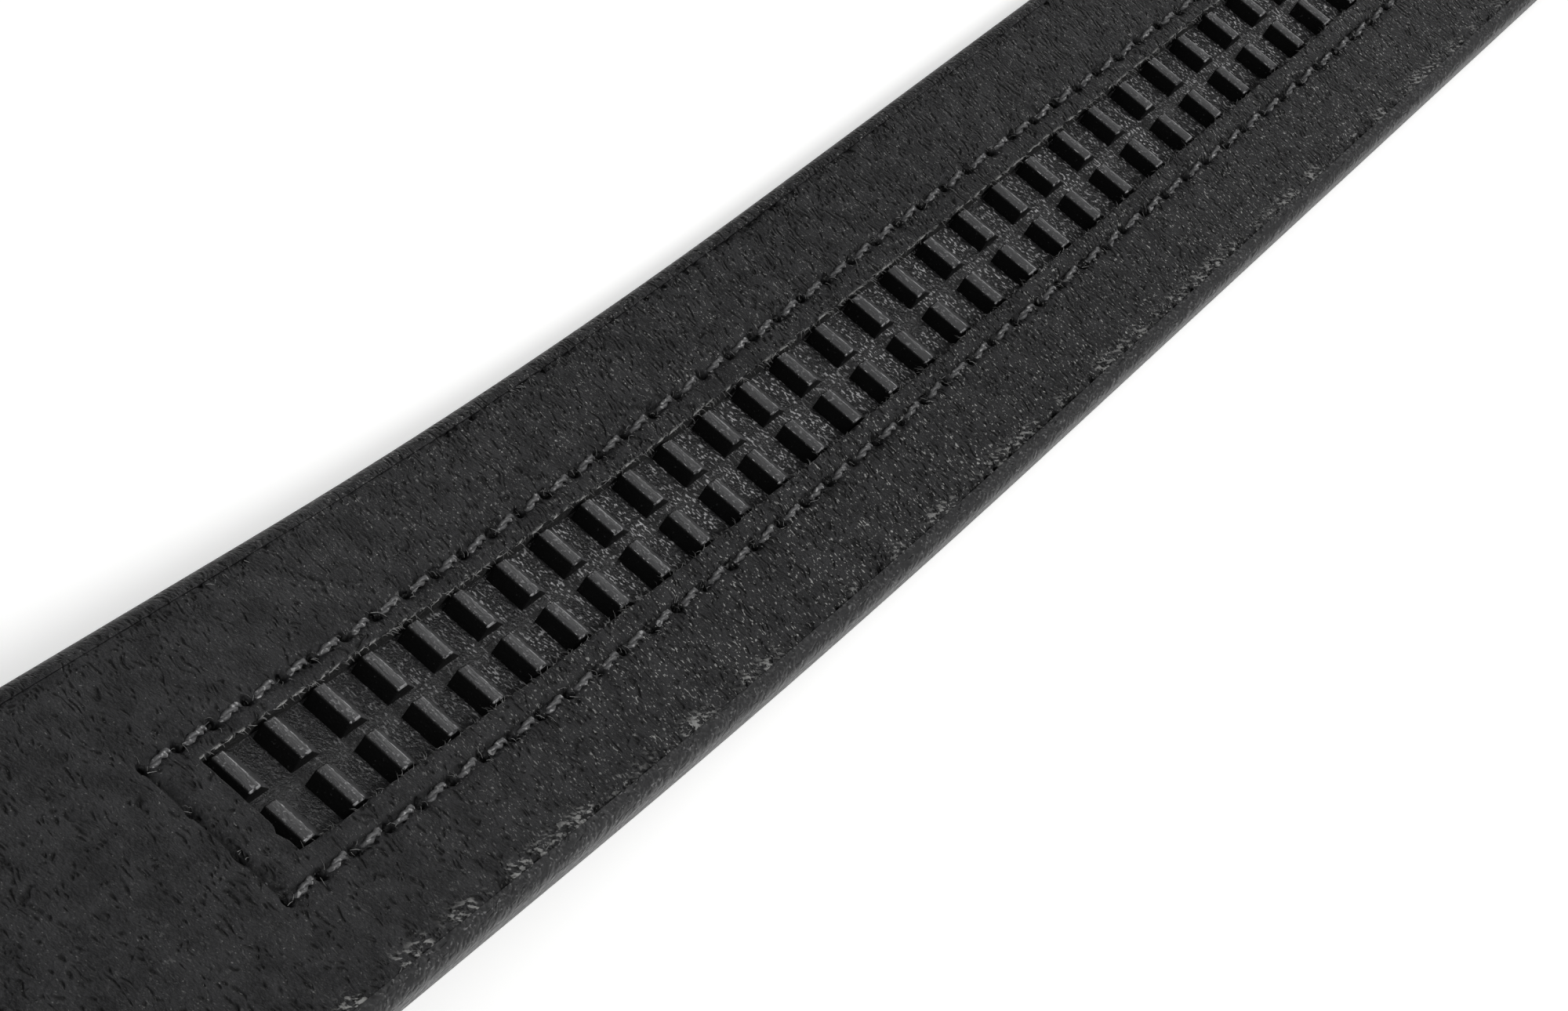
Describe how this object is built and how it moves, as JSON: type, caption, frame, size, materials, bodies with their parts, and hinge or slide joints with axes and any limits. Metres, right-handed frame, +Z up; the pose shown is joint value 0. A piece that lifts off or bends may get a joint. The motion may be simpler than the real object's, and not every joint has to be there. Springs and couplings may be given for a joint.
{
  "type": "ratchet belt",
  "caption": "Leather strap laid on its outer face, with a moulded two-row ratchet track in a window of its inner leather and a plain automatic buckle.",
  "frame": {"origin": "on the surface under the middle of the belt's length, with the belt laid on its outer face", "axes": "+X along the strap from the buckle to the tip, +Y across it, +Z up out of the toothed inner face"},
  "size_m": [1.1216, 0.041, 0.0278],
  "materials": {
    "face_leather": "black dyed smooth grain, low sheen",
    "backing_leather": "black dyed, pored and finely creased, low sheen",
    "track_plastic": "moulded black nylon, spark-textured floor and smooth tooth lands",
    "buckle_metal": "brushed dark nickel"
  },
  "bodies": {
    "root": {"face_leather": "face_leather", "backing_leather": "backing_leather", "ratchet_track": "track_plastic", "buckle": "buckle_metal"}
  },
  "joints": []
}
